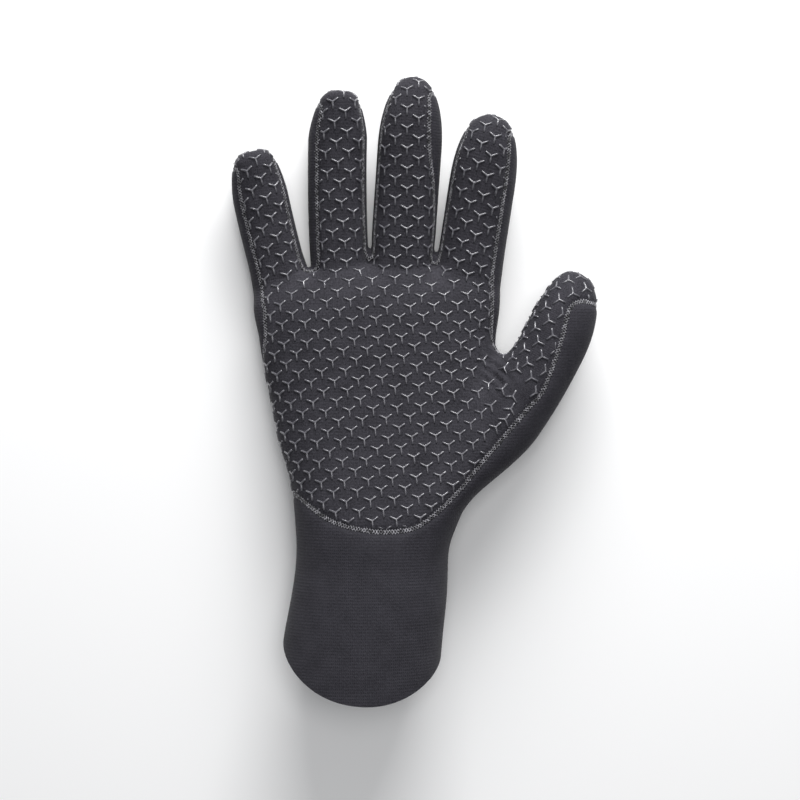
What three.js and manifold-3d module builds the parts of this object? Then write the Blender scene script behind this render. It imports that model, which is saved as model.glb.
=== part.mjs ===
// A five-finger diving glove in 3 mm neoprene for the right hand, lying on its back with the palm up.
// It is sewn from two panels that meet edge to edge along one seam. The palm panel covers the fronts
// and the tips of the fingers and the thumb. The back panel wraps round their sides and goes on,
// without a seam, as the cuff.
// Millimetres. +X points to the thumb side, +Y to the fingertips and +Z up, out of the palm.
// The origin is the middle of the glove's footprint, on the surface that it lies on.
import * as THREE from "three";
import { mergeVertices } from "three/addons/utils/BufferGeometryUtils.js";
import Module from "manifold-3d";

// Driving dimensions
const WALL = 3.0; // neoprene with jersey on both faces
const SEAM_GAP = 0.3; // clearance between the two panels along their seam
const PALM_LENGTH = 115; // wrist line to the webs between the fingers
const PALM_BREADTH = 104.5; // across the knuckles
const PALM_DEPTH = 34;
const WRIST_BREADTH = 66;
const WRIST_DEPTH = 45;
const CUFF_LENGTH = 50; // wrist line to the hem, at the sides
const HEM_DROP = 20; // how much further the hem reaches on the palm side
const HEM_RISE = 7; // and how much less on the back
const HEM_LEAN = 6; // degrees that the hem is turned, as the forearm leans
const FINGER_LENGTH = 105; // the middle finger, from its root inside the palm
const FINGER_BREADTH = 27.7;
const FINGER_DEPTH = 23;
const THUMB_LENGTH = 115; // with its ball, from its root near the wrist
const THUMB_BREADTH = 28.8;
const THUMB_DEPTH = 27;
const FLATTENING = 1.2; // how far the back is pressed flat where it lies

// Sections of the hand from the webs down to the wrist. at: share of PALM_LENGTH above the wrist line.
// left, right: shares of PALM_BREADTH either side of the wrist's middle. depth: share of PALM_DEPTH.
// fullness: exponent of the section's curve, 2 for an ellipse, more for a boxier one.
// seamLeft, seamRight: height of the seam on either side, as a share of half the depth above its middle.
const PALM_SECTIONS = [
  { at: 1.0, left: 0.18, right: 0.34, depth: 0.48, fullness: 2.5, seamLeft: 0.4, seamRight: 0.35 },
  { at: 0.95, left: 0.39, right: 0.46, depth: 0.68, fullness: 2.6, seamLeft: 0.5, seamRight: 0.45 },
  { at: 0.86, left: 0.497, right: 0.51, depth: 0.82, fullness: 2.7, seamLeft: 0.6, seamRight: 0.5 },
  { at: 0.71, left: 0.467, right: 0.502, depth: 0.9, fullness: 2.8, seamLeft: 0.5, seamRight: 0.35 },
  { at: 0.6, left: 0.444, right: 0.53, depth: 0.94, fullness: 2.7, seamLeft: 0.1, seamRight: 0.2 },
  { at: 0.486, left: 0.42, right: 0.55, depth: 0.99, fullness: 2.6, seamLeft: -0.2, seamRight: 0.1 },
  { at: 0.33, left: 0.385, right: 0.49, depth: 1.08, fullness: 2.5, seamLeft: -0.25, seamRight: 0.0 },
  { at: 0.187, left: 0.34, right: 0.4, depth: 1.18, fullness: 2.4, seamLeft: -0.25, seamRight: 0.0 },
];

// Sections from the wrist to below the hem. at: share of CUFF_LENGTH below the wrist line.
// left, right: shares of WRIST_BREADTH. depth: share of WRIST_DEPTH.
const CUFF_SECTIONS = [
  { at: 0.08, left: 0.495, right: 0.505, depth: 1.0 },
  { at: 0.33, left: 0.5, right: 0.49, depth: 1.02 },
  { at: 0.58, left: 0.527, right: 0.482, depth: 1.06 },
  { at: 0.91, left: 0.573, right: 0.456, depth: 1.1 },
  { at: 1.4, left: 0.62, right: 0.425, depth: 1.14 },
  { at: 1.9, left: 0.64, right: 0.41, depth: 1.14 },
];
const CUFF_FULLNESS = 2.1; // the cuff stands open, nearly an ellipse

// The four fingers. x: root, share of PALM_BREADTH from the wrist's middle. lean: degrees to the thumb side.
// length, breadth, depth: shares of the FINGER sizes. bow: sideways bend, share of the breadth.
// root: breadth at the root, share of the finger's own. tip: exponent of the tip's outline, squarer if more.
// curl: rise of the tip, share of FINGER_LENGTH. seamLeft, seamRight: as in the sections of the hand.
const FINGERS = [
  {
    x: -0.33, lean: -13.5, length: 0.708, breadth: 0.87, depth: 0.9, bow: -0.06,
    root: 1.2, tip: 3.6, curl: 0.06, seamLeft: 0.68, seamRight: 0.5,
  },
  {
    x: -0.12, lean: -1.0, length: 0.93, breadth: 0.917, depth: 0.97, bow: -0.075,
    root: 0.98, tip: 2.9, curl: 0.08, seamLeft: 0.84, seamRight: 0.42,
  },
  {
    x: 0.107, lean: 3.5, length: 0.99, breadth: 1.0, depth: 1.0, bow: 0,
    root: 0.87, tip: 2.2, curl: 0.11, seamLeft: 0.4, seamRight: 0.74,
  },
  {
    x: 0.368, lean: 8.1, length: 0.842, breadth: 1.03, depth: 1.0, bow: 0,
    root: 1.05, tip: 2.4, curl: 0.1, seamLeft: 0.4, seamRight: 0.8,
  },
];
const FINGER_ROOT = 0.785; // share of PALM_LENGTH at which the fingers' roots lie
// The thumb, in the same columns. y: root, share of PALM_LENGTH.
// lift: rise of its ball, share of THUMB_DEPTH.
const THUMB = {
  x: 0.285, y: 0.112, lean: 30.9, bow: 0.25, root: 0.58, tip: 2.3, lift: 0.45, curl: 0.03,
  seamLeft: -0.2, seamRight: -0.2,
};
const LIMB_FULLNESS = 2.4; // exponent of the fingers' sections
const TIP_SHARE = 1.1; // length of a rounded tip, as a share of the finger's breadth
const ROOT_SHARE = 0.4; // share of a limb's length over which its root's own breadth fades
const LIFT_AT_TIP = 0.3; // what is left of the ball's lift at the thumb's tip
const TIP_COVER = 0.5; // share of the breadth over which the palm panel closes round a tip
const FINGER_BLEND = [0.08, 0.3]; // shares of a finger's length where its own seam takes over from the hand's
const THUMB_BLEND = [0.3, 0.6]; // and the same for the thumb
const BLEND_SHARPNESS = 1.5; // how fast a seam's pull on its neighbours fades beside a finger

// The seam's lower edge across the palm, from the little finger's side to the ball of the thumb.
// x: share of PALM_BREADTH. y: share of PALM_LENGTH.
const PALM_SEAM = [
  { x: -0.309, y: 0.128 },
  { x: -0.193, y: 0.054 },
  { x: -0.103, y: 0.022 },
  { x: 0.0, y: 0.005 },
  { x: 0.1, y: 0.004 },
  { x: 0.181, y: 0.019 },
  { x: 0.263, y: 0.071 },
  { x: 0.35, y: 0.147 },
  { x: 0.44, y: 0.247 },
];
// The same seam up the thumb and out round its tip. along: share of the thumb's length.
// across: share of half its breadth, to the outer side.
const THUMB_SEAM = [
  { along: 0.456, across: 0.25 },
  { along: 0.535, across: 0.36 },
  { along: 0.665, across: 0.21 },
  { along: 0.77, across: 0.07 },
  { along: 0.85, across: -0.06 },
  { along: 0.893, across: 0.08 },
  { along: 0.92, across: 0.45 },
  { along: 0.945, across: 1.3 },
];

// Facets
const LIMB_SIDES = 16;
const BODY_SIDES = 28;
const LIMB_RINGS = 5; // along the straight part of a finger
const TIP_ANGLES = [24, 44, 62, 78]; // degrees round the tip, a ring at each
const SHEET_STEP = 8; // grid of the sheet that parts the panels
const HEM_STEPS = 16; // along the hem's slanted line, as seen from the side
const MERGE = 1e-4; // distance under which two corners are one

const wasm = await Module();
wasm.setup();

const { clamp, degToRad, lerp, smoothstep } = THREE.MathUtils;

// A smooth curve through one column of a table, read at a value of its first column, y.
function readColumn(rows, column, y) {
  const last = rows.length - 1;
  const next = clamp(rows.findIndex((row) => row.y <= y), 1, last);
  const [upper, lower] = [rows[next - 1], rows[next]];
  const slopeAt = (i) => {
    const [before, after] = [rows[Math.max(i - 1, 0)], rows[Math.min(i + 1, last)]];
    return (after[column] - before[column]) / (after.y - before.y);
  };
  const span = lower.y - upper.y;
  const t = clamp((y - upper.y) / span, 0, 1);
  const [startSlope, endSlope] = [slopeAt(next - 1) * span, slopeAt(next) * span];
  const rise = lower[column] - upper[column];
  const bend = 3 * rise - 2 * startSlope - endSlope;
  return upper[column] + t * (startSlope + t * (bend + t * (startSlope + endSlope - 2 * rise)));
}

// The section tables in millimetres, from the webs down to below the hem.
const lastHandSection = PALM_SECTIONS[PALM_SECTIONS.length - 1];
const bodyRows = [
  ...PALM_SECTIONS.map((row) => ({
    ...row,
    y: row.at * PALM_LENGTH,
    left: -row.left * PALM_BREADTH,
    right: row.right * PALM_BREADTH,
    depth: row.depth * PALM_DEPTH,
  })),
  ...CUFF_SECTIONS.map((row) => ({
    ...lastHandSection,
    y: -row.at * CUFF_LENGTH,
    left: -row.left * WRIST_BREADTH,
    right: row.right * WRIST_BREADTH,
    depth: row.depth * WRIST_DEPTH,
    fullness: CUFF_FULLNESS,
  })),
];
const webY = bodyRows[0].y;

function bodySection(y) {
  const read = (column) => readColumn(bodyRows, column, y);
  const [left, right, depth] = [read("left"), read("right"), read("depth")];
  return {
    centre: new THREE.Vector3((left + right) / 2, y, depth / 2 - FLATTENING),
    across: new THREE.Vector2(1, 0),
    halfBreadth: (right - left) / 2,
    halfDepth: depth / 2,
    fullness: read("fullness"),
    seamLeft: read("seamLeft"),
    seamRight: read("seamRight"),
  };
}

// A limb is a finger or the thumb: a tube on a leaning, bowed and curled axis, with a rounded tip.
function makeLimb(row, y, length, breadth, depth, lift) {
  const lean = degToRad(row.lean);
  return {
    ...row,
    origin: new THREE.Vector2(row.x * PALM_BREADTH, y * PALM_LENGTH),
    along: new THREE.Vector2(Math.sin(lean), Math.cos(lean)),
    across: new THREE.Vector2(Math.cos(lean), -Math.sin(lean)),
    length,
    breadth,
    depth,
    lift,
    bow: row.bow * breadth,
    curl: row.curl * FINGER_LENGTH,
    tipLength: TIP_SHARE * breadth,
  };
}
const fingers = FINGERS.map((row) =>
  makeLimb(
    row, FINGER_ROOT, row.length * FINGER_LENGTH, row.breadth * FINGER_BREADTH, row.depth * FINGER_DEPTH, 0,
  ),
);
const thumb = makeLimb(THUMB, THUMB.y, THUMB_LENGTH, THUMB_BREADTH, THUMB_DEPTH, THUMB.lift * THUMB_DEPTH);
const limbs = [...fingers, thumb];

// The full section of a limb at a distance along its axis, before the tip's rounding.
function limbSection(limb, along) {
  const t = clamp(along / limb.length, 0, 1);
  const breadth = limb.breadth * lerp(limb.root, 1, smoothstep(t, 0, ROOT_SHARE));
  const offset = limb.bow * 4 * t * (1 - t);
  const axis = limb.origin.clone().addScaledVector(limb.along, along).addScaledVector(limb.across, offset);
  const rise = limb.lift * lerp(1, LIFT_AT_TIP, t) + limb.curl * t * t;
  return {
    centre: new THREE.Vector3(axis.x, axis.y, limb.depth / 2 - FLATTENING + rise),
    across: limb.across,
    halfBreadth: breadth / 2,
    halfDepth: limb.depth / 2,
    fullness: LIMB_FULLNESS,
    seamLeft: limb.seamLeft,
    seamRight: limb.seamRight,
  };
}

// The outline of a section, set in by inset and scaled about its centre, and pressed flat on the floor below.
function sectionRing(section, sides, inset, scale = 1) {
  const { centre, across, fullness } = section;
  const bend = (value) => Math.sign(value) * Math.abs(value) ** (2 / fullness);
  return Array.from({ length: sides }, (_, i) => {
    const angle = ((i + 0.5) / sides) * 2 * Math.PI;
    const u = (section.halfBreadth - inset) * scale * bend(Math.cos(angle));
    const v = (section.halfDepth - inset) * scale * bend(Math.sin(angle));
    return [centre.x + across.x * u, centre.y + across.y * u, Math.max(centre.z + v, inset)];
  });
}

// A closed solid through rings with the same number of points, with a flat cap at either end.
function loft(rings) {
  const sides = rings[0].length;
  const triangles = [];
  for (let j = 1; j < rings.length; j++) {
    for (let i = 0; i < sides; i++) {
      const next = (i + 1) % sides;
      const [near, nearNext] = [rings[j - 1][i], rings[j - 1][next]];
      const [far, farNext] = [rings[j][i], rings[j][next]];
      triangles.push(near, farNext, nearNext, near, far, farNext);
    }
  }
  const [first, last] = [rings[0], rings[rings.length - 1]];
  for (let i = 1; i < sides - 1; i++) {
    triangles.push(first[0], first[i], first[i + 1], last[0], last[i + 1], last[i]);
  }
  const geometry = new THREE.BufferGeometry();
  geometry.setAttribute("position", new THREE.Float32BufferAttribute(triangles.flat(), 3));
  return toSolid(geometry);
}

function toSolid(geometry) {
  const bare = geometry.clone();
  bare.deleteAttribute("normal");
  bare.deleteAttribute("uv");
  const merged = mergeVertices(bare, MERGE);
  const vertProperties = merged.attributes.position.array;
  const triVerts = new Uint32Array(merged.index.array);
  return new wasm.Manifold(new wasm.Mesh({ numProp: 3, vertProperties, triVerts }));
}

// A limb's rings: evenly along its straight part, then closer and smaller round the tip.
function limbSolid(limb, inset) {
  const tipLength = limb.tipLength - inset;
  const tipStart = limb.length - limb.tipLength;
  const rings = [];
  for (let i = 0; i <= LIMB_RINGS; i++) {
    rings.push(sectionRing(limbSection(limb, (i / LIMB_RINGS) * tipStart), LIMB_SIDES, inset));
  }
  for (const degrees of TIP_ANGLES) {
    const k = Math.sin(degToRad(degrees));
    const scale = (1 - k ** limb.tip) ** (1 / limb.tip);
    rings.push(sectionRing(limbSection(limb, tipStart + k * tipLength), LIMB_SIDES, inset, scale));
  }
  return loft(rings);
}

// The hand and the cuff, with a ring at each row of the tables and one halfway to the next.
function bodySolid(inset) {
  const heights = bodyRows.map((row) => row.y);
  const halfway = heights.slice(1).map((y, i) => (y + heights[i]) / 2);
  const stations = [...heights, ...halfway].sort((a, b) => a - b);
  const rings = stations.map((y) => {
    const ring = sectionRing(bodySection(y), BODY_SIDES, inset);
    const setBack = y > 0 ? (inset * y) / webY : 0;
    return ring.map(([x, ringY, z]) => [x, ringY - setBack, z]);
  });
  return loft(rings);
}

function joined(solids) {
  return solids.reduce((all, solid) => all.add(solid));
}

function gloveSolid(inset) {
  return joined([bodySolid(inset), ...limbs.map((limb) => limbSolid(limb, inset))]);
}

// What lies beyond the hem: its slanted line as seen from the side, which passes the middle of the depth
// at the cuff's own length, swept across the cuff and turned by the lean.
function beyondHem() {
  const hem = bodySection(-CUFF_LENGTH);
  const depth = 2 * hem.halfDepth - FLATTENING;
  const bend = 2 * (HEM_RISE - HEM_DROP);
  const line = Array.from({ length: HEM_STEPS + 1 }, (_, i) => {
    const share = lerp(-0.2, 1.4, i / HEM_STEPS);
    const reach = HEM_RISE - share * (HEM_DROP + HEM_RISE + bend) + share * share * bend;
    return new THREE.Vector2(reach, share * depth);
  });
  const far = bodyRows[bodyRows.length - 1].y - CUFF_LENGTH;
  const outline = [...line, new THREE.Vector2(far, line[HEM_STEPS].y), new THREE.Vector2(far, line[0].y)];
  const width = 3 * WRIST_BREADTH;
  const geometry = new THREE.ExtrudeGeometry(new THREE.Shape(outline), { depth: width, bevelEnabled: false });
  geometry.translate(0, 0, -width / 2);
  const [alongY, alongZ, alongX] = [
    new THREE.Vector3(0, 1, 0),
    new THREE.Vector3(0, 0, 1),
    new THREE.Vector3(1, 0, 0),
  ];
  geometry.applyMatrix4(new THREE.Matrix4().makeBasis(alongY, alongZ, alongX));
  geometry.rotateZ(-degToRad(HEM_LEAN));
  geometry.translate(hem.centre.x, -CUFF_LENGTH, 0);
  return toSolid(geometry);
}

// How high the seam lies on a section at a distance across it.
function heightOnSection(section, across) {
  const share = clamp(across / section.halfBreadth, -1, 1);
  return section.centre.z + section.halfDepth * lerp(section.seamLeft, section.seamRight, (share + 1) / 2);
}

// The height of the sheet that parts the panels, at a place seen from above. Each finger has its own,
// tilted to the seams on its two sides, and beyond its tip it drops under the finger. Between the fingers
// and towards the palm it blends smoothly.
function seamHeight(x, y) {
  const place = new THREE.Vector2(x, y);
  const nearness = (across, halfBreadth) => Math.exp(-BLEND_SHARPNESS * (across / halfBreadth) ** 2);
  let handShare = 1;
  let total = 0;
  let height = 0;
  for (const limb of limbs) {
    const along = place.clone().sub(limb.origin).dot(limb.along);
    const section = limbSection(limb, along);
    const axis = new THREE.Vector2(section.centre.x, section.centre.y);
    const across = place.clone().sub(axis).dot(limb.across);
    const cover = TIP_COVER * limb.breadth;
    const drop = 2 * limb.depth * smoothstep(along, limb.length - cover, limb.length + cover / 2);
    const beyondRoot = smoothstep(along / limb.length, ...(limb === thumb ? THUMB_BLEND : FINGER_BLEND));
    const weight = beyondRoot * nearness(across, section.halfBreadth);
    handShare *= limb === thumb ? 1 : 1 - beyondRoot;
    height += weight * (heightOnSection(section, across) - drop);
    total += weight;
  }
  const body = bodySection(clamp(y, bodyRows[bodyRows.length - 1].y, webY));
  const fromMiddle = x - body.centre.x;
  const bodyWeight = handShare * nearness(fromMiddle, body.halfBreadth) + Number.EPSILON;
  return (height + bodyWeight * heightOnSection(body, fromMiddle)) / (total + bodyWeight);
}

// The space over the seam's sheet, raised off it by a clearance.
function aboveSheet(clearance) {
  const reach = 2 * (PALM_BREADTH + THUMB_LENGTH / 2);
  const [low, high] = [-CUFF_LENGTH, PALM_LENGTH + FINGER_LENGTH + SHEET_STEP];
  const [columns, rows] = [Math.round(reach / SHEET_STEP), Math.round((high - low) / SHEET_STEP)];
  const top = 4 * WRIST_DEPTH;
  const grid = Array.from({ length: rows + 1 }, (_, j) =>
    Array.from({ length: columns + 1 }, (_, i) => {
      const [x, y] = [-reach / 2 + (i / columns) * reach, low + (j / rows) * (high - low)];
      const height = seamHeight(x, y);
      const slope = Math.hypot(seamHeight(x + 1, y) - height, seamHeight(x, y + 1) - height);
      return [x, y, height + clearance * Math.hypot(1, slope)];
    }),
  );
  const raised = ([x, y]) => [x, y, top];
  const triangles = [];
  const face = (a, b, c, d) => triangles.push(a, b, c, a, c, d);
  for (let j = 0; j < rows; j++) {
    for (let i = 0; i < columns; i++) {
      const [a, b, c, d] = [grid[j][i], grid[j][i + 1], grid[j + 1][i + 1], grid[j + 1][i]];
      face(a, d, c, b);
      face(raised(a), raised(b), raised(c), raised(d));
    }
  }
  for (let i = 0; i < columns; i++) {
    const [a, b, c, d] = [grid[0][i], grid[0][i + 1], grid[rows][i], grid[rows][i + 1]];
    face(a, b, raised(b), raised(a));
    face(d, c, raised(c), raised(d));
  }
  for (let j = 0; j < rows; j++) {
    const [a, b, c, d] = [grid[j][0], grid[j + 1][0], grid[j][columns], grid[j + 1][columns]];
    face(b, a, raised(a), raised(b));
    face(c, d, raised(d), raised(c));
  }
  const geometry = new THREE.BufferGeometry();
  geometry.setAttribute("position", new THREE.Float32BufferAttribute(triangles.flat(), 3));
  return toSolid(geometry);
}

// The seam's line across the palm and up the thumb, seen from above, moved off itself by a clearance.
function seamLine(clearance) {
  const points = PALM_SEAM.map((row) => new THREE.Vector2(row.x * PALM_BREADTH, row.y * PALM_LENGTH));
  for (const row of THUMB_SEAM) {
    const section = limbSection(thumb, row.along * thumb.length);
    const axis = new THREE.Vector2(section.centre.x, section.centre.y);
    points.push(axis.addScaledVector(section.across, row.across * section.halfBreadth));
  }
  return points.map((point, i) => {
    const [before, after] = [points[Math.max(i - 1, 0)], points[Math.min(i + 1, points.length - 1)]];
    const step = after.clone().sub(before).normalize();
    return new THREE.Vector2(-step.y, step.x).multiplyScalar(clearance).add(point);
  });
}

// The space that the palm panel fills: over the sheet, and on the finger side of the seam's line.
function palmSpace(clearance) {
  const line = seamLine(clearance);
  const [first, last] = [line[0], line[line.length - 1]];
  const side = 2 * PALM_BREADTH;
  const top = PALM_LENGTH + 2 * FINGER_LENGTH;
  const outline = new THREE.Shape([
    new THREE.Vector2(-side, first.y),
    ...line,
    new THREE.Vector2(side, last.y),
    new THREE.Vector2(side, top),
    new THREE.Vector2(-side, top),
  ]);
  const height = 3 * WRIST_DEPTH;
  const prism = new THREE.ExtrudeGeometry(outline, { depth: 2 * height, bevelEnabled: false });
  prism.translate(0, 0, -height);
  return toSolid(prism).intersect(aboveSheet(clearance));
}

// The largest piece of a cut, without the slivers that fall off where the sheet grazes a web.
function largestPiece(solid) {
  return solid.decompose().reduce((largest, piece) => (piece.volume() > largest.volume() ? piece : largest));
}

// The two panels
const neoprene = gloveSolid(0).subtract(gloveSolid(WALL)).subtract(beyondHem());
const palmPanel = largestPiece(neoprene.intersect(palmSpace(SEAM_GAP / 2)));
const backPanel = largestPiece(neoprene.subtract(palmSpace(-SEAM_GAP / 2)));

// Centres the glove on its footprint.
const outline = palmPanel.add(backPanel).boundingBox();
const middle = [(outline.min[0] + outline.max[0]) / 2, (outline.min[1] + outline.max[1]) / 2];

function panelMesh(name, solid, colour, roughness) {
  const { vertProperties, triVerts } = solid.getMesh();
  const geometry = new THREE.BufferGeometry();
  geometry.setAttribute("position", new THREE.BufferAttribute(vertProperties, 3));
  geometry.setIndex(new THREE.BufferAttribute(triVerts, 1));
  const material = new THREE.MeshStandardMaterial({ color: colour, roughness, metalness: 0 });
  const mesh = new THREE.Mesh(geometry, material);
  mesh.name = name;
  mesh.position.set(-middle[0], -middle[1], 0);
  return mesh;
}

const glove = new THREE.Group();
glove.add(panelMesh("palm_panel", palmPanel, 0x45444b, 0.75));
glove.add(panelMesh("back_panel", backPanel, 0x3b3a42, 0.9));

export default glove;
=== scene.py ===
# %% [markdown]
# # A neoprene diving glove
# A diver's glove is cut from sheets of foamed rubber with a thin knit glued to both faces. This one
# is two panels, a palm and a back, sewn edge to edge round every finger. The palm carries a raised
# rubber print for grip. Each cell makes one thing and says why it is made that way.

import math

import bpy
import numpy as np
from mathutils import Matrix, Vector


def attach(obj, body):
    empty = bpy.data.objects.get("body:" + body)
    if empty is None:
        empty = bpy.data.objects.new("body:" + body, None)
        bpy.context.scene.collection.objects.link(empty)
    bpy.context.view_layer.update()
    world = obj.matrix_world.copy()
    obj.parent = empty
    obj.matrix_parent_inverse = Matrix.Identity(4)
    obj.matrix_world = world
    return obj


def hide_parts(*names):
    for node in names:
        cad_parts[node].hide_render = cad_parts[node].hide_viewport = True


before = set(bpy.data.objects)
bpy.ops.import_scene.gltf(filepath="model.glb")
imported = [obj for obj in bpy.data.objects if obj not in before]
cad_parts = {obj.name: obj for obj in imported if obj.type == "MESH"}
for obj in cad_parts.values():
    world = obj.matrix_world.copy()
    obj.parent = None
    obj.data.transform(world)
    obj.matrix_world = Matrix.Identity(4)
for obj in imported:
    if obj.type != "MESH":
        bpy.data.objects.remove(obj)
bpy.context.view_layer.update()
MM = 0.001

# %% [markdown]
# ## Sizes
# The glove is drawn in millimetres from the middle of the wrist, because a pattern maker measures a
# hand from there. The hand and the cuff are one tube, given by its sections. A section is a
# superellipse, which is an ellipse with fuller corners, as a padded sleeve has. Each finger is a tube
# of its own on a leaning axis.

# %% Sizes of the glove
WRIST = np.array([-17.11, -60.89, 0.0])  # mm, where the wrist's middle lies in the frame
WALL = 3.0  # mm of neoprene
PALM_LENGTH, PALM_BREADTH, PALM_DEPTH = 115.0, 104.5, 34.0
CUFF_LENGTH, WRIST_BREADTH, WRIST_DEPTH = 50.0, 66.0, 45.0
FINGER_LENGTH, FINGER_BREADTH, FINGER_DEPTH = 105.0, 27.7, 23.0
THUMB_LENGTH, THUMB_BREADTH, THUMB_DEPTH = 113.7, 28.8, 27.0
FLATTENING = 1.2  # mm that the back is pressed flat on what it lies on
HEM_DROP, HEM_RISE, HEM_LEAN = 20.0, 7.0, 6.0  # mm below the cuff's end in front, above it behind, degrees

# shares: at, left, right, depth. Then the fullness, and the seam's height left and right
HAND = np.array([
    (1.0, 0.18, 0.34, 0.48, 2.5, 0.4, 0.35),
    (0.95, 0.39, 0.46, 0.68, 2.6, 0.5, 0.45),
    (0.86, 0.487, 0.513, 0.82, 2.7, 0.6, 0.5),
    (0.71, 0.469, 0.502, 0.9, 2.8, 0.5, 0.35),
    (0.6, 0.449, 0.53, 0.94, 2.7, 0.1, 0.2),
    (0.486, 0.42, 0.55, 0.99, 2.6, -0.2, 0.1),
    (0.33, 0.385, 0.48, 1.08, 2.5, -0.25, 0.0),
    (0.187, 0.338, 0.376, 1.18, 2.4, -0.25, 0.0),
])
# shares: at, left, right, depth
CUFF = np.array([
    (0.08, 0.495, 0.492, 1.0),
    (0.33, 0.5, 0.49, 1.02),
    (0.58, 0.527, 0.482, 1.06),
    (0.91, 0.573, 0.456, 1.1),
    (1.4, 0.62, 0.425, 1.14),
    (1.9, 0.64, 0.41, 1.14),
])
CUFF_FULLNESS = 2.1

hand_mm = HAND * np.array([PALM_LENGTH, -PALM_BREADTH, PALM_BREADTH, PALM_DEPTH, 1, 1, 1])
cuff_mm = np.ones((len(CUFF), 7)) * [1, 1, 1, 1, CUFF_FULLNESS, HAND[-1, 5], HAND[-1, 6]]
cuff_mm[:, :4] = CUFF * [-CUFF_LENGTH, -WRIST_BREADTH, WRIST_BREADTH, WRIST_DEPTH]
TUBE = np.vstack([hand_mm, cuff_mm])[::-1]  # from below the hem up to the webs
WEB, LOWEST = TUBE[-1, 0], TUBE[0, 0]


def smooth_column(column, y):
    """One column of the sections, read smoothly at the heights y."""
    at, value = TUBE[:, 0], TUBE[:, column]
    slope = np.empty_like(value)
    slope[1:-1] = (value[2:] - value[:-2]) / (at[2:] - at[:-2])
    slope[0] = (value[1] - value[0]) / (at[1] - at[0])
    slope[-1] = (value[-1] - value[-2]) / (at[-1] - at[-2])
    i = np.clip(np.searchsorted(at, y) - 1, 0, len(at) - 2)
    span = at[i + 1] - at[i]
    t = np.clip((y - at[i]) / span, 0, 1)
    rise = value[i + 1] - value[i]
    a, b = slope[i] * span, slope[i + 1] * span
    return value[i] + t * (a + t * (3 * rise - 2 * a - b + t * (a + b - 2 * rise)))


print("hand sections:", len(HAND), "cuff sections:", len(CUFF))

# %% [markdown]
# ## Fingers
# A finger leans, bows sideways and curls up a little, because a relaxed hand does. Its end is round,
# and the exponent of the end's outline makes it squarer where the real glove's is cut blunt.

# %% Fingers and thumb
# x, lean, length, breadth, depth, bow, root, tip, curl, seam left, seam right, pattern turn, end, taper.
# Lean and turn are in degrees, tip is an exponent and the others are shares.
FINGERS = {
    "little": (-0.33, -13.8, 0.708, 0.87, 0.9, -0.06, 1.2, 4.5, 0.06, 0.86, 0.5, -9.0, 0.6, 0.3),
    "ring": (-0.12, -1.0, 0.93, 0.917, 0.97, -0.075, 0.98, 5.0, 0.08, 0.86, 0.46, 1.0, 0.5, 0.42),
    "middle": (0.104, 3.95, 0.99, 1.0, 1.0, 0.0, 0.87, 2.2, 0.11, 0.44, 1.0, 6.0, 1.1, 0.0),
    "index": (0.368, 8.6, 0.842, 1.03, 1.0, 0.0, 1.05, 2.4, 0.1, 0.4, 0.86, 17.0, 1.1, 0.0),
}
THUMB = (0.287, 32.1, 1, 1, 1, 0.215, 0.58, 2.3, 0.03, -0.2, -0.2, -60.0, 1.1, 0.0)
FINGER_ROOT, THUMB_ROOT = 0.785, 0.112  # shares of the palm's length at which the axes start
FINGER_BLEND, THUMB_BLEND = (0.08, 0.3), (0.3, 0.6)  # shares of a limb over which it parts from the hand
THUMB_LIFT = 0.45  # share of its depth that the thumb's root is lifted
LIFT_LOST = 0.7  # share of that lift that is lost by the tip
ROOT_SHARE = 0.4  # share of a limb over which its root changes to its full breadth
LIMB_FULLNESS = 2.4
TAPER_LENGTH, TAPER_BEND = 20.0, 1.6  # mm before a blunt tip over which it narrows, and how late it does


def smoothstep(x, low, high):
    t = np.clip((x - low) / (high - low), 0, 1)
    return t * t * (3 - 2 * t)


class Limb:
    def __init__(self, row, y, size, lift, blend):
        x, lean, long, broad, deep, bow, root, tip, curl, seam_left, seam_right, turn, end, taper = row
        lean = math.radians(lean)
        self.origin = np.array([x * PALM_BREADTH, y * PALM_LENGTH])
        self.along = np.array([math.sin(lean), math.cos(lean)])
        self.across = np.array([math.cos(lean), -math.sin(lean)])
        self.length, self.breadth, self.depth = long * size[0], broad * size[1], deep * size[2]
        self.bow, self.root, self.tip, self.lift = bow * self.breadth, root, tip, lift
        self.curl = curl * FINGER_LENGTH
        self.seams, self.climb = (seam_left, seam_right), None
        self.turn = math.radians(turn)
        self.end, self.taper = end * self.breadth, taper  # length of the rounded tip, and how much it narrows
        self.blend = blend

    def half(self, t):
        """Half the breadth at the share t of the length."""
        return self.breadth / 2 * (self.root + (1 - self.root) * smoothstep(t, 0, ROOT_SHARE))

    def bowed(self, t):
        """How far the axis bows sideways at the share t."""
        return self.bow * 4 * t * (1 - t)

    def into_tip(self, along):
        """How far a place is into the rounded tip, as a share of the tip."""
        return (along - self.length + self.end) / self.end

    def left_in_tip(self, k):
        """What share of the limb's size is left at the share k of the tip."""
        return (1 - k**self.tip) ** (1 / self.tip)


finger_size = (FINGER_LENGTH, FINGER_BREADTH, FINGER_DEPTH)
thumb_size = (THUMB_LENGTH, THUMB_BREADTH, THUMB_DEPTH)
limbs = {name: Limb(row, FINGER_ROOT, finger_size, 0.0, FINGER_BLEND) for name, row in FINGERS.items()}
limbs["thumb"] = Limb(THUMB, THUMB_ROOT, thumb_size, THUMB_LIFT * THUMB_DEPTH, THUMB_BLEND)
print("limbs:", ", ".join(f"{name} {limb.length:.0f} mm" for name, limb in limbs.items()))

# %% [markdown]
# ## The shape as a distance
# Tubes joined by a boolean meet in hard creases, but sewn neoprene flows from the palm into a finger.
# So each tube is a function that says how far a point lies outside it, and a soft minimum joins them.
# A mesh is then drawn where the joined function is zero. The floor is joined in the same way, as a
# soft maximum, which flattens the back where the glove lies.


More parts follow.
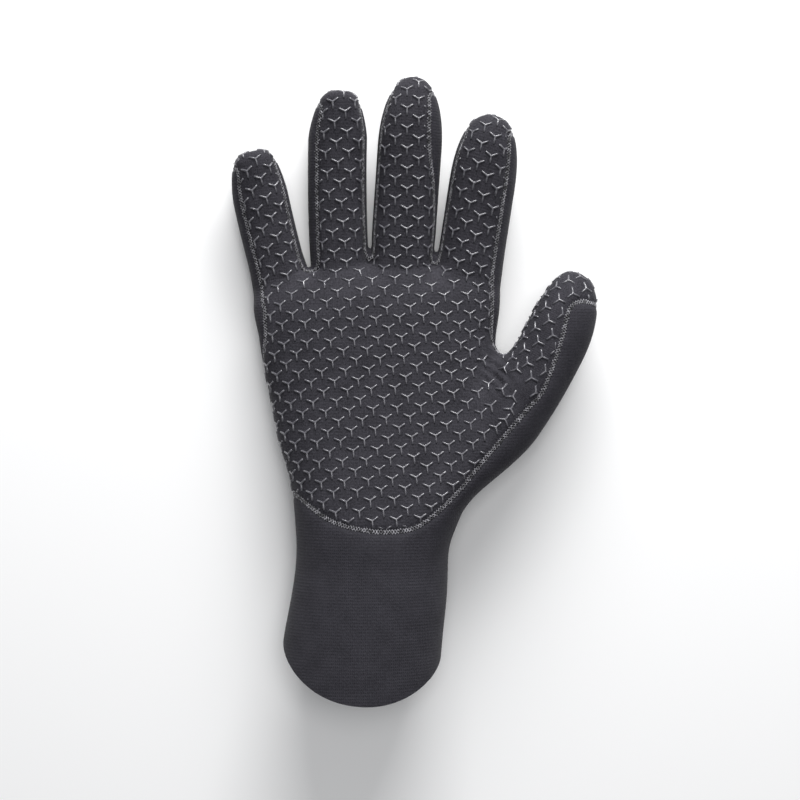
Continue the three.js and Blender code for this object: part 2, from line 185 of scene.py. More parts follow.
# %% Distances
TINY = 1e-6  # keeps a division from dividing by nothing
WEB_ROUND = 5.0  # mm over which the hand rounds off between the fingers
SOFTNESS = {"little": 2.5, "ring": 4.0, "middle": 4.0, "index": 4.0, "thumb": 11.0}  # mm of each joint
FLOOR_SOFTNESS = 3.0  # mm


def superellipse_distance(u, v, a, b, n, k, p, end):
    """How far a point lies outside a tube's section, rounded off beyond its end where k is above 0."""
    U, V = np.abs(u) / a, np.abs(v) / b
    F = np.maximum((U**n + V**n) ** (1 / n), TINY)
    slope = np.hypot((U / F) ** (n - 1) / a, (V / F) ** (n - 1) / b)
    G = (F**p + k**p) ** (1 / p)
    steepness = np.hypot((F / G) ** (p - 1) * slope, (k / G) ** (p - 1) / end)
    return (G - 1) / np.maximum(steepness, TINY)


def limb_place(limb, x, y):
    """Along and across a limb, with its axis's height and half its breadth there."""
    dx, dy = x - limb.origin[0], y - limb.origin[1]
    along = dx * limb.along[0] + dy * limb.along[1]
    t = np.clip(along / limb.length, 0, 1)
    across = dx * limb.across[0] + dy * limb.across[1] - limb.bowed(t)
    narrowing = 1 - limb.taper * np.clip((along - limb.length) / TAPER_LENGTH + 1, 0, 1) ** TAPER_BEND
    height = limb.depth / 2 - FLATTENING + limb.lift * (1 - LIFT_LOST * t) + limb.curl * t * t
    return along, across, height, limb.half(t) * narrowing


def limb_distance(limb, x, y, z):
    along, across, height, half = limb_place(limb, x, y)
    k = np.maximum(limb.into_tip(along), 0) + np.maximum(-along / limb.end, 0)
    deep = limb.depth / 2
    return superellipse_distance(across, z - height, half, deep, LIMB_FULLNESS, k, limb.tip, limb.end)


def hand_place(x, y):
    """Across the hand or the cuff, with the section's half sizes, its fullness and its height."""
    clamped = np.clip(y, LOWEST, WEB)
    left, right, depth, fullness = (smooth_column(column, clamped) for column in (1, 2, 3, 4))
    return x - (left + right) / 2, (right - left) / 2, depth / 2, fullness, depth / 2 - FLATTENING


def hand_distance(x, y, z):
    across, half, deep, fullness, height = hand_place(x, y)
    k = np.maximum((y - WEB) / WEB_ROUND, 0)
    return superellipse_distance(across, z - height, half, deep, fullness, k, 2.0, WEB_ROUND)


def soft_min(a, b, reach):
    h = np.maximum(reach - np.abs(a - b), 0) / reach
    return np.minimum(a, b) - h * h * reach / 4


def glove_distance(x, y, z):
    hand = hand_distance(x, y, z)
    whole = hand
    for name, limb in limbs.items():
        whole = np.minimum(whole, soft_min(hand, limb_distance(limb, x, y, z), SOFTNESS[name]))
    return -soft_min(-whole, z, FLOOR_SOFTNESS)


print("distance at the palm's middle, mm:", round(float(glove_distance(np.array([0.0]), 50.0, 15.0)[0]), 1))

# %% [markdown]
# ## Skin
# Surface nets put one point in each small cube that the surface passes through, and join them across
# each edge that it crosses. The quads are even and follow the form, so cloth detail lies well on them.
# A few steps down the distance's slope then bring every point onto the surface itself.

# %% Draw the skin
STEP = 1.15  # mm, the cube's size, fine enough for the smallest fold
GRID_HALF = np.array([95.0, 145.0])  # mm either way from the frame's origin
GRID_FLOOR, GRID_DEPTH = -2.0, 58.0  # mm
SLABS = 14  # parts in which the grid is sampled, to save memory
LEAST_SQUARE = 0.2  # the least square of a slope that a step divides by
low = np.array([*(-WRIST[:2] - GRID_HALF), GRID_FLOOR])
counts = np.ceil(np.array([*(2 * GRID_HALF), GRID_DEPTH]) / STEP).astype(int)
axes = [low[i] + np.arange(counts[i]) * STEP for i in range(3)]


def sample_grid(function):
    """The function at every corner of the grid."""
    slabs = [np.meshgrid(xs, *axes[1:], indexing="ij") for xs in np.array_split(axes[0], SLABS)]
    return np.concatenate([function(*slab).astype(np.float32) for slab in slabs])


def surface_nets(field):
    """Points and quads where the field is zero. The inside is where it is negative."""
    inside = field < 0
    corners = [(i, j, k) for i in (0, 1) for j in (0, 1) for k in (0, 1)]
    size = [n - 1 for n in field.shape]
    part = lambda array, c: array[c[0] : c[0] + size[0], c[1] : c[1] + size[1], c[2] : c[2] + size[2]]
    total = sum(part(inside, c).astype(np.int8) for c in corners)
    cells = np.argwhere((total > 0) & (total < 8))
    number = np.full(size, -1)
    number[tuple(cells.T)] = np.arange(len(cells))
    place, crossings = np.zeros((len(cells), 3)), np.zeros(len(cells))
    for c in corners:
        for axis in range(3):
            if c[axis]:
                continue
            step = np.eye(3, dtype=int)[axis]
            f0, f1 = field[tuple((cells + c).T)], field[tuple((cells + c + step).T)]
            crossed = (f0 < 0) != (f1 < 0)
            t = np.where(crossed, f0 / np.where(crossed, f0 - f1, 1), 0)
            place += crossed[:, None] * (np.array(c) + t[:, None] * step)
            crossings += crossed
    points = low + (cells + place / crossings[:, None]) * STEP
    quads = []
    for axis in range(3):
        a, b = [(1, 2), (2, 0), (0, 1)][axis]
        one = [slice(1, n - 1) for n in field.shape]
        two = list(one)
        one[axis], two[axis] = slice(0, field.shape[axis] - 1), slice(1, field.shape[axis])
        start, end = inside[tuple(one)], inside[tuple(two)]
        for outward in (True, False):
            edge = np.argwhere((start & ~end) if outward else (~start & end))
            edge = edge + [0 if i == axis else 1 for i in range(3)]
            ring = []
            for da, db in ((-1, -1), (0, -1), (0, 0), (-1, 0)):
                cell = edge.copy()
                cell[:, a] += da
                cell[:, b] += db
                ring.append(number[tuple(cell.T)])
            quads.append(np.stack(ring if outward else ring[::-1], 1))
    return points, np.vstack(quads)


def slope_of(function, points, h=0.2):
    """The function and its slope at the points, by small steps either way."""
    middle = function(*points.T)
    slope = [
        (function(*(points + step).T) - function(*(points - step).T)) / (2 * h) for step in np.eye(3) * h
    ]
    return middle, np.stack(slope, 1)


def unit(v):
    return v / np.linalg.norm(v, axis=1)[:, None]


def settle(points, steps=3):
    """The points moved onto the glove's surface."""
    for _ in range(steps):
        value, slope = slope_of(glove_distance, points)
        points = points - slope * (value / np.maximum((slope**2).sum(1), LEAST_SQUARE))[:, None]
    return points


skin, quads = surface_nets(sample_grid(glove_distance))
skin = settle(skin)
print("skin:", len(skin), "points,", len(quads), "quads")

# %% [markdown]
# ## Cutting
# Real panels are cut from the sheet along a drawn line. Here a second function plays the shears: it is
# positive on one side of the line and negative on the other, and every triangle that the line crosses
# is split exactly on it. The same cutter trims the hem and parts the palm from the back.


# %% Cutter
SNAP = 0.08  # a point nearer to the line than this counts as on it, so no sliver is cut


def cut(points, triangles, side, carry=()):
    """Splits the mesh where side is zero. Gives the points, the triangles either side and what is carried."""
    side = np.where(np.abs(side) < SNAP, 0.0, side)
    sign = np.sign(side[triangles])
    above, below = (sign >= 0).all(1), (sign <= 0).all(1)
    positive, negative = list(triangles[above]), list(triangles[below & ~above])
    added, middle_of = [], {}

    def crossing(a, b):
        key = (min(a, b), max(a, b))
        if key not in middle_of:
            t = side[key[0]] / (side[key[0]] - side[key[1]])
            middle_of[key] = len(points) + len(added)
            added.append((key[0], key[1], t))
        return middle_of[key]

    for triangle in triangles[~above & ~below]:
        loop = []
        for a, b in zip(triangle, np.roll(triangle, -1)):
            loop.append((a, np.sign(side[a])))
            if side[a] * side[b] < 0:
                loop.append((crossing(a, b), 0))
        for wanted, target in ((1, positive), (-1, negative)):
            ring = [p for p, s in loop if s * wanted >= 0]
            target.extend((ring[0], ring[i], ring[i + 1]) for i in range(1, len(ring) - 1))
    a, b, t = (np.array(column) for column in zip(*added))
    mixed = lambda values: np.concatenate([values, (values[a].T * (1 - t) + values[b].T * t).T])
    return mixed(points), np.array(positive), np.array(negative), [mixed(values) for values in carry]


def beyond_hem(x, y, z):
    """How far a point lies above the hem. Seen from the side, the hem reaches lower on the palm side."""
    left, right, depth = (smooth_column(column, np.array([-CUFF_LENGTH]))[0] for column in (1, 2, 3))
    lean = math.radians(HEM_LEAN)
    up = (y + CUFF_LENGTH) * math.cos(lean) + (x - (left + right) / 2) * math.sin(lean)
    share = z / (depth - FLATTENING)
    bend = 2 * (HEM_RISE - HEM_DROP)
    return up - (HEM_RISE - share * (HEM_DROP + HEM_RISE + bend) + share**2 * bend)


triangles = np.vstack([quads[:, [0, 1, 2]], quads[:, [0, 2, 3]]])
skin, triangles, _, _ = cut(skin, triangles, beyond_hem(*skin.T))
print("skin above the hem:", len(triangles), "triangles")

# %% [markdown]
# ## Seam
# The seam runs high along the sides of the fingers and over their tips, then sweeps across the heel of
# the palm and up the thumb. Between the fingers it is a height on the glove, read from a blend of each
# finger's own seam height, and the middle finger's climbs to its tip. Across the heel and the thumb it
# is a line seen from above.

# %% Seam
PALM_SEAM = [  # shares of the palm's breadth and length
    (-0.309, 0.128), (-0.193, 0.054), (-0.103, 0.022), (0.0, 0.005), (0.1, 0.004),
    (0.181, 0.019), (0.263, 0.071), (0.35, 0.147), (0.44, 0.247),
]
THUMB_SEAM = [  # shares of the thumb's length and, beside its axis, of half its breadth
    (0.456, 0.25), (0.535, 0.36), (0.665, 0.21), (0.77, 0.07),
    (0.85, -0.06), (0.893, 0.08), (0.92, 0.45), (0.945, 1.3),
]
BLEND_SHARPNESS = 1.5  # how quickly a limb's share falls off beside it
TIP_COVER = 0.32  # share of a finger's breadth that the palm's cloth reaches over its tip
LEAST_SLOPE = 0.35  # the least slope that the seam's distance is divided by
limbs["middle"].climb = (0.41, 0.35, 0.78)  # the right seam's height below, and the shares where it climbs


def limb_height(limb, x, y):
    """A finger's own seam height, which drops under it beyond its tip, with its along, across and half."""
    along, across, height, half = limb_place(limb, x, y)
    share = np.clip(across / half, -1, 1)
    left, right = limb.seams
    if limb.climb:
        below, *span = limb.climb
        right = below + (right - below) * smoothstep(along / limb.length, *span)
    rounding = limb.left_in_tip(np.clip(limb.into_tip(along), 0, 1))
    level = height + limb.depth / 2 * (left + (right - left) * (share + 1) / 2) * rounding
    cover = TIP_COVER * limb.breadth
    drop = 2 * limb.depth * smoothstep(along, limb.length - cover, limb.length + cover / 2)
    return level - drop, along, across, half


def belonging(x, y):
    """How much each limb and the hand own a place seen from above, and each limb's seam height."""
    weights, heights, hand = {}, {}, np.ones_like(x)
    for name, limb in limbs.items():
        heights[name], along, across, half = limb_height(limb, x, y)
        beyond = smoothstep(along / limb.length, *limb.blend)
        weights[name] = beyond * np.exp(-BLEND_SHARPNESS * (across / half) ** 2)
        if name != "thumb":
            hand = hand * (1 - beyond)
    across, half, _, _, _ = hand_place(x, y)
    weights["hand"] = hand * np.exp(-BLEND_SHARPNESS * (across / half) ** 2) + 1e-12
    return weights, heights


def seam_height(x, y):
    weights, heights = belonging(x, y)
    across, half, deep, _, height = hand_place(x, y)
    clamped = np.clip(y, LOWEST, WEB)
    left, right = smooth_column(5, clamped), smooth_column(6, clamped)
    heights["hand"] = height + deep * (left + (right - left) * (np.clip(across / half, -1, 1) + 1) / 2)
    return sum(weights[name] * heights[name] for name in weights) / sum(weights.values())


def round_line(points, steps=12):
    """A smooth line through the points."""
    points = np.array(points)
    ends = np.vstack([2 * points[0] - points[1], points, 2 * points[-1] - points[-2]])
    out = []
    for a, b, c, d in zip(ends, ends[1:], ends[2:], ends[3:]):
        t = np.linspace(0, 1, steps, endpoint=False)[:, None]
        square, cube = 2 * a - 5 * b + 4 * c - d, 3 * b - a - 3 * c + d
        out.append(0.5 * (2 * b + (c - a) * t + square * t**2 + cube * t**3))
    return np.vstack([*out, points[-1:]])


heel = [(x * PALM_BREADTH, y * PALM_LENGTH) for x, y in PALM_SEAM]
thumb = limbs["thumb"]
for share, beside in THUMB_SEAM:
    offset = beside * thumb.half(share) + thumb.bowed(share)
    heel.append(tuple(thumb.origin + thumb.along * share * thumb.length + thumb.across * offset))
HEEL_LINE = round_line(heel)


def heel_side(x, y):
    """How far a place lies on the finger side of the heel's line."""
    level = np.interp(x, *HEEL_LINE.T)
    slope = np.interp(x + 0.5, *HEEL_LINE.T) - np.interp(x - 0.5, *HEEL_LINE.T)
    return (y - level) / np.hypot(1, slope)


def palm_side(x, y, z):
    """Positive on the palm panel, negative on the back."""
    return np.minimum(z - seam_height(x, y), heel_side(x, y))


def seam_distance(points):
    """How far each skin point lies from the seam, measured on the skin, positive on the palm."""
    value, slope = slope_of(palm_side, points)
    normal = unit(slope_of(glove_distance, points)[1])
    flat = slope - normal * (slope * normal).sum(1)[:, None]
    return value / np.maximum(np.linalg.norm(flat, axis=1), LEAST_SLOPE), normal


from_seam, normals = seam_distance(skin)
print("seam: nearest point", round(float(np.abs(from_seam).min()), 3), "mm")

# %% [markdown]
# ## Pattern coordinates
# Jersey and grip print are made on the flat sheet, before it is sewn, so they follow the cloth round
# each finger. The flat place of a skin point is found by unrolling: the distance round the section from
# its top, and the distance along the finger over its tip. Each finger's cloth is turned by its own angle
# against the palm's, and the turns blend at the knuckles. The thumb's cloth was cut reaching out
# sideways, so between the thumb and the palm the flat sheet is opened like a fan.


# %% Unroll the skin
THUMB_SHARE = (0.25, 0.65)  # shares of the thumb's length over which it takes the sheet over
THUMB_BESIDE = (-2.6, -1.1)  # shares of half its breadth beside it over which it does
CROTCH, FAN_FOOT = np.array([56.7, 72.4]), np.array([66.8, 48.6])  # mm, the fan's two ends
FAN_WIDTH = (2.6, 13.2)  # mm, half the fan's width at the crotch, and what it gains towards its foot
FAN_BEND = 0.6  # how soon it gains that
FAN_SIDES = (-1.5, 0.7)  # in half widths from the fan's middle, where its turn starts and ends
GAP_WAY = np.array([0.24, 0.97])  # the way up between the index finger and the thumb
TIP_PARTS = 24  # steps in which the way over a tip is measured


def arc_round(u, v, a, b, n, long_way=False, parts=16):
    """Distance round a superellipse from its top, less than 0 on the left, where it may also be measured
    the long way, by the right and the back."""
    U, V = np.abs(u) / a, np.abs(v) / b
    angle = np.arctan2(U ** (n / 2), V ** (n / 2))
    angle = np.where(v < 0, math.pi - angle, angle)
    if long_way:
        angle = np.where(u < 0, 2 * math.pi - angle, angle)
    t = np.linspace(0, 1, parts + 1)[:, None] * angle
    bend = lambda w: np.sign(w) * np.abs(w) ** (2 / n)
    px, pz = a * bend(np.sin(t)), b * bend(np.cos(t))
    length = np.hypot(np.diff(px, axis=0), np.diff(pz, axis=0)).sum(0)
    return length if long_way else np.sign(u) * length


def open_fan(flat, x, y):
    """Opens the cloth about the fan's foot. Its middle runs from there to the crotch and up the gap."""
    away, down = np.stack([x, y], 1) - CROTCH, FAN_FOOT - CROTCH
    length = np.linalg.norm(down)
    on = away @ down / length
    beside_fold = away @ np.array([-down[1], down[0]]) / length
    beside_gap = away @ np.array([GAP_WAY[1], -GAP_WAY[0]])
    width = FAN_WIDTH[0] + FAN_WIDTH[1] * (np.clip(on, 0, None) / length) ** FAN_BEND
    turn = thumb.turn * smoothstep(np.where(on > 0, beside_fold, beside_gap) / width, *FAN_SIDES)
    c, s = np.cos(turn), np.sin(turn)
    reach = flat - FAN_FOOT
    return FAN_FOOT + np.stack([c * reach[:, 0] - s * reach[:, 1], s * reach[:, 0] + c * reach[:, 1]], 1)


def unroll(points, long_way=False, fanned=True):
    """The flat place of each point, in mm."""
    x, y, z = points.T
    weights, _ = belonging(x, y)
    along, across, _, half = limb_place(thumb, x, y)
    on_thumb = smoothstep(along / thumb.length, *THUMB_SHARE) * smoothstep(across / half, *THUMB_BESIDE)
    hand_total = sum(weights.values()) - weights["thumb"]
    weights = {name: weight / hand_total * (1 - on_thumb) for name, weight in weights.items()}
    weights["thumb"] = on_thumb
    across, half, deep, fullness, height = hand_place(x, y)
    flat_x = arc_round(across, z - height, half, deep, fullness, long_way)
    flat_x = np.where(np.abs(flat_x) < np.abs(across), across, flat_x) + (x - across)
    flat = np.stack([flat_x, y], 1) * weights["hand"][:, None]
    for name, limb in limbs.items():
        along, beside, height, half = limb_place(limb, x, y)
        k = np.clip(limb.into_tip(along), 0, 0.999)  # just short of the tip's point
        small, deep = limb.left_in_tip(k), limb.depth / 2
        round_it = arc_round(beside, z - height, half * small, deep * small, LIMB_FULLNESS, long_way)
        steps = np.linspace(0, 1, TIP_PARTS + 1)[:, None] * k
        fall = deep * limb.left_in_tip(steps)
        over = np.hypot(np.diff(steps * limb.end, axis=0), np.diff(fall, axis=0)).sum(0)
        onward = np.minimum(along, limb.length - limb.end) + over
        sideways = round_it + limb.bowed(np.clip(along / limb.length, 0, 1))
        place = onward[:, None] * limb.along + sideways[:, None] * limb.across
        angle = 0.0 if limb is thumb else limb.turn
        turn = np.array([[math.cos(angle), math.sin(angle)], [-math.sin(angle), math.cos(angle)]])
        pivot = limb.along * limb.length * sum(limb.blend) / 2
        flat += ((place - pivot) @ turn + pivot + limb.origin) * weights[name][:, None]
    return open_fan(flat, x, y) if fanned else flat


pattern = unroll(skin)
print("pattern, mm:", pattern.min(0).round(), pattern.max(0).round())

# %% [markdown]
# ## Groove
# Two sheets butted and stitched pull down into a shallow valley along the joint, so the skin is pressed
# in there. Where the thumb is drawn in beside the palm its cloth crowds into small folds, which are
# waves that fade out all round. Then the cutter parts the two panels.

# %% Press the groove and cut the panels
GROOVE, GROOVE_REACH = 0.75, 1.5  # depth and half width, mm
CREASE, CREASE_APART = 0.65, 3.8  # height and distance apart, mm
CREASES_AT = np.array([52.5, 66.5])  # mm, their middle
CREASES_REACH = (9.0, 7.0)  # mm over which they fade, along them and across
CREASE_BOW, CREASE_LEAN = 0.06, 0.25  # how they curve, and how much they lean, in radians to a mm
CREASE_CLEAR = 4.0  # mm from the seam over which they rise to their full height


def creases(p, from_seam):
    """Height of the small folds where the palm's cloth crowds between the thumb and the palm."""
    along = (CREASES_AT - FAN_FOOT) / np.linalg.norm(CREASES_AT - FAN_FOOT)
    away = p[:, :2] - CREASES_AT
    down, beside = away @ along, away @ np.array([along[1], -along[0]])
    bowed = beside + CREASE_BOW * down**2 / CREASE_APART
    wave = np.sin(2 * math.pi * bowed / CREASE_APART + CREASE_LEAN * down)
    window = np.exp(-((down / CREASES_REACH[0]) ** 2) - (beside / CREASES_REACH[1]) ** 2)
    return CREASE * wave * window * smoothstep(from_seam, 0, CREASE_CLEAR)


press = creases(skin, from_seam) - GROOVE * np.exp(-((from_seam / GROOVE_REACH) ** 2))
pressed = skin + normals * press[:, None]
carried = (pattern, from_seam, normals, skin)
points, palm_faces, back_faces, carried = cut(pressed, triangles, from_seam, carried)
pattern, from_seam, normals, smooth_skin = carried


def largest_patch(faces, count, rounds=400):
    """Only the largest connected patch of faces, found by handing the least number round each face."""
    label = np.arange(count)
    for _ in range(rounds):
        least = label[faces].min(1)
        before = label.copy()
        for corner in range(3):
            np.minimum.at(label, faces[:, corner], least)
        label = label[label]
        if (label == before).all():
            break
    owner = label[faces[:, 0]]
    names, sizes = np.unique(owner, return_counts=True)
    return faces[owner == names[sizes.argmax()]]


palm_faces, back_faces = (largest_patch(faces, len(points)) for faces in (palm_faces, back_faces))
print("palm:", len(palm_faces), "triangles, back:", len(back_faces))

# %% [markdown]
# ## Materials
# Diving jersey is nylon knitted very finely and glued to black foam. The knit scatters light, so it has
# a high roughness and a little sheen, and its loops stand in fine ribs along the hand. The grip print is
# silicone rubber, poured through a screen: smooth and glossy, so it shows thin highlights. Colours are
# read from the photograph as sRGB and turned into the linear values that a shader needs.


# %% Colour and nodes
def linear(code):
    """A linear colour from an sRGB hex value."""
    parts = [int(code[i : i + 2], 16) / 255 for i in (1, 3, 5)]
    return (*[c / 12.92 if c <= 0.04045 else ((c + 0.055) / 1.055) ** 2.4 for c in parts], 1.0)


def link(tree, source, node, key):
    """Links an output to the node's input of that name. A node stands for its first output."""
    tree.links.new(source.outputs[0] if hasattr(source, "outputs") else source, node.inputs[key])


def add_node(tree, kind, links=(), inputs=(), **settings):
    """One node with its settings, its input values, and what is linked to its inputs."""
    node = tree.nodes.new(kind)
    for name, value in settings.items():
        setattr(node, name, value)
    for key, value in dict(inputs).items():
        node.inputs[key].default_value = value
    for key, source in dict(links).items():
        link(tree, source, node, key)
    return node


def new_material(name, finish):
    """A material whose shader has the finish's values, with its node tree."""
    material = bpy.data.materials.new(name)
    material.use_nodes = True
    for key, value in finish.items():
        material.node_tree.nodes["Principled BSDF"].inputs[key].default_value = value
    return material, material.node_tree


def feed_shader(tree, sources):
    for key, source in sources.items():
        link(tree, source, tree.nodes["Principled BSDF"], key)


def two_tones(tree, value, dark, light, low=0.0, high=1.0):
    """A colour that goes from dark to light as the value goes from low to high."""
    ramp = add_node(tree, "ShaderNodeValToRGB", {"Fac": value})
    for stop, position, code in zip(ramp.color_ramp.elements, (low, high), (dark, light)):
        stop.position, stop.color = position, linear(code)
    return ramp


print("charcoal jersey, linear:", [round(c, 4) for c in linear("#3d3c43")[:3]])

# %% [markdown]
# ## Jersey
# A rib of fine jersey is about half a millimetre wide, which is one pixel of the picture. It is drawn at
# 0.9 mm, as coarse as it needs to be to show. The rows of loops cross it, wider apart and less even.
# Broader noise gives the slight mottling that pressed foam has under its cloth. The coordinates are the
# pattern's own millimetres, so the ribs turn with each finger.

# %% Jersey material
RIB, COURSE = 0.9, 1.3  # mm
BAND = 0.31416  # bands repeat every BAND / Scale, which is in mm on the pattern
FLUFF, MOTTLE = 1.3, 0.12  # to a mm: specks under 1 mm across, and patches about 8 mm across


def bands(tree, place, way, spacing, wobble, wobble_scale):
    return add_node(
        tree, "ShaderNodeTexWave", place,
        {"Scale": BAND / spacing, "Distortion": wobble, "Detail": 1.0, "Detail Scale": wobble_scale},
        wave_type="BANDS", wave_profile="SIN", bands_direction=way,
    ).outputs["Fac"]


def jersey(name, light, dark, rib_depth, speckle):
    """Dull cloth: ribs and fluff break up the light, and mottling keeps it from looking painted."""
    material, tree = new_material(name, {
        "Roughness": 0.8, "IOR": 1.5, "Specular IOR Level": 0.15,
        "Sheen Weight": 0.04, "Sheen Roughness": 0.45,
    })
    place = {"Vector": add_node(tree, "ShaderNodeUVMap", uv_map="pattern_mm")}
    ribs, courses = bands(tree, place, "X", RIB, 0.6, 1.5), bands(tree, place, "Y", COURSE, 1.2, 2.0)
    loops = add_node(tree, "ShaderNodeMath", {0: ribs, 1: courses}, operation="MULTIPLY")
    fluff = add_node(tree, "ShaderNodeTexNoise", place, {"Scale": FLUFF, "Detail": 3.0, "Roughness": 0.7})
    mottle = add_node(tree, "ShaderNodeTexNoise", place, {"Scale": MOTTLE, "Detail": 2.0})
    both = add_node(tree, "ShaderNodeMix", {"A": fluff, "B": mottle}, {"Factor": 1 - speckle})
    relief = add_node(tree, "ShaderNodeMath", {0: loops, 2: fluff}, {1: rib_depth}, operation="MULTIPLY_ADD")
    bump = add_node(tree, "ShaderNodeBump", {"Height": relief}, {"Strength": 0.55, "Distance": 0.25 * MM})
    feed_shader(tree, {"Base Color": two_tones(tree, both, dark, light, 0.36, 0.64), "Normal": bump})
    return material


palm_jersey = jersey("palm_jersey_on_neoprene", "#3c3b41", "#201f24", 0.5, 0.75)
back_jersey = jersey("ribbed_jersey_on_neoprene", "#38373d", "#252429", 0.9, 0.75)
print("jersey ribs every", RIB, "mm")

# %% [markdown]
# ## Foam, rubber and thread
# The cut edge of neoprene is matt black foam with pin holes. The print is dark grey silicone, coloured
# lighter than it is as painted light for the shine of its raised marks, and as smooth rubber mirrors the
# lamp, it shines where it turns to the light. The thread is grey nylon with a soft shine, and its tone
# varies at random along the seam, in light and dark flecks.


# %% Foam, print and thread materials
def texture(tree, kind, grain, **inputs):
    """A texture on the piece's own coordinates, with a grain of so many mm."""
    place = add_node(tree, "ShaderNodeTexCoord").outputs["Object"]
    return add_node(tree, kind, {"Vector": place}, {"Scale": 1 / (grain * MM), **inputs})


# Dull and black, with pin holes that show up close at the hem. The holes are painted darker where
# the bump sinks them, which is painted shade in them.
foam, tree = new_material("cut_neoprene_foam", {"Roughness": 0.9})
pore_pits_and_shade = texture(tree, "ShaderNodeTexVoronoi", 0.5)
bump = add_node(tree, "ShaderNodeBump", {"Height": pore_pits_and_shade}, {"Strength": 0.4, "Distance": 0.3 * MM})
feed_shader(tree, {"Base Color": two_tones(tree, pore_pits_and_shade, "#141416", "#2a2a2d"), "Normal": bump})

# Glossy, with thin lights on the shoulders of the marks.
rubber, tree = new_material("screen_printed_silicone", {
    "IOR": 1.43, "Specular IOR Level": 0.8, "Coat Weight": 0.6, "Coat Roughness": 0.12,
})
grain = texture(tree, "ShaderNodeTexNoise", 1.2, Detail=2.0)
gloss = add_node(tree, "ShaderNodeMapRange", {"Value": grain}, {"To Min": 0.2, "To Max": 0.4})
# Both tones are lighter than the real dark grey print: that lift is painted light, for the shine the raised
# marks catch, and the noise between the tones is the rubber's own random tone.
feed_shader(tree, {"Base Color": two_tones(tree, grain, "#403f45", "#6b6a70"), "Roughness": gloss})

# Light and dark flecks in turn, as the photographed seam shows.
thread, tree = new_material("bonded_nylon_thread", {"Roughness": 0.5, "Sheen Weight": 0.2})
flecks = texture(tree, "ShaderNodeTexNoise", 1.6, Detail=3.0, Roughness=0.75)
feed_shader(tree, {"Base Color": two_tones(tree, flecks, "#1a191d", "#a3a2a8", 0.42, 0.66)})
print("materials:", ", ".join(m.name for m in bpy.data.materials))

# %% [markdown]
# ## Panels
# Each panel is its share of the skin with the sheet's thickness added inwards by Solidify, so it is a
# closed sheet with two jersey faces and a foam edge, as the real one is. The flat pattern becomes its
# UV map. Where a triangle lies across the middle of the back, its pattern would jump from one side of
# the sheet to the other, so those corners are unrolled the long way round instead.

# %% Make the panels
JUMP = 20  # mm on the pattern across one triangle, which is more than any triangle has
CRISP = math.radians(45)  # an edge that turns by more than this isn't shaded as round


def place_object(name, data):
    thing = bpy.data.objects.new(name, data)
    bpy.context.collection.objects.link(thing)
    return thing


def store(mesh, name, values):
    """Keeps a number or a vector for each point of the mesh."""
    kind, key = ("FLOAT_VECTOR", "vector") if np.ndim(values) > 1 else ("FLOAT", "value")
    mesh.attributes.new(name, kind, "POINT").data.foreach_set(key, np.ravel(values).astype(np.float32))


def mesh_of(name, place, faces=(), edges=(), materials=(), **kept):
    """A mesh from points in the glove's millimetres, with what is kept for each point."""
    mesh = bpy.data.meshes.new(name)
    mesh.from_pydata((place + WRIST) * MM, list(edges), np.asarray(faces, int).tolist())
    for material in materials:
        mesh.materials.append(material)
    mesh.shade_smooth()
    for key, values in kept.items():
        store(mesh, key, values)
    return place_object(name, mesh)


def pattern_corners(faces, fanned):
    """The pattern's place for each corner of each face, without jumps."""
    corners = unroll(smooth_skin, fanned=fanned)[faces]
    jumps = np.ptp(corners[:, :, 0], axis=1) > JUMP
    left = corners[:, :, 0] < corners[:, :, 0].mean(1, keepdims=True)
    swap = jumps[:, None] & left
    corners[swap] = unroll(smooth_skin, True, fanned)[faces][swap]
    return corners.reshape(-1, 2)


def plain_mesh(thing):
    """The mesh that the object's modifiers make."""
    evaluated = thing.evaluated_get(bpy.context.evaluated_depsgraph_get())
    return bpy.data.meshes.new_from_object(evaluated)


def make_panel(name, faces, jersey_material, fanned):
    used, local = np.unique(faces, return_inverse=True)
    panel = mesh_of(name, points[used], local.reshape(faces.shape), materials=(jersey_material, foam))
    flat = panel.data.uv_layers.new(name="pattern_mm")
    flat.data.foreach_set("uv", pattern_corners(faces, fanned).ravel())
    wall = panel.modifiers.new("wall", "SOLIDIFY")
    wall.thickness, wall.offset = WALL * MM, -1
    wall.material_offset_rim = 1
    solid = plain_mesh(panel)
    panel.modifiers.clear()
    solid.set_sharp_from_angle(angle=CRISP)
    panel.data = solid
    return panel


palm = make_panel("palm_cloth", palm_faces, palm_jersey, True)
back = make_panel("back_cloth", back_faces, back_jersey, False)
print("panels:", {p.name: len(p.data.polygons) for p in (palm, back)}, "faces")

# %% [markdown]
# ## Grip print
# The printer's screen is a plain lattice of three-armed marks, staggered like bricks. A mark lies
# wherever the pattern's coordinates reach a point of that lattice, so each triangle of the skin is asked
# whether it holds one. Where the cloth is crowded, a mark that would lie on another is left out.
# Geometry Nodes then put a copy of one mark on each place, turn it with the cloth, and lay every corner
# of it onto the skin. A mark that meets the seam sinks in, as the real ones are cut off there.

# %% Places of the marks
ROW_SPACING, COLUMN_SPACING = 10.1, 8.5  # mm between marks along a row and up a column
ROW_RISE, COLUMN_LEAN = math.radians(3.3), math.radians(5.9)
ONE_MARK = np.array([-19.5, 97.3])  # one mark's place, which sets where the lattice lies
PAST_SEAM = 3.2  # mm beyond the seam where a mark's arms may still reach the palm
ROOM = 5.0  # mm from mark to mark, at the least
along_row = ROW_SPACING * np.array([math.cos(ROW_RISE), math.sin(ROW_RISE)])
up_column = COLUMN_SPACING * np.array([-math.sin(COLUMN_LEAN), math.cos(COLUMN_LEAN)])
lattice = np.stack([(along_row + up_column) / 2, (up_column - along_row) / 2], 1)


def crossed(a, b):
    return a[..., 0] * b[..., 1] - a[..., 1] * b[..., 0]


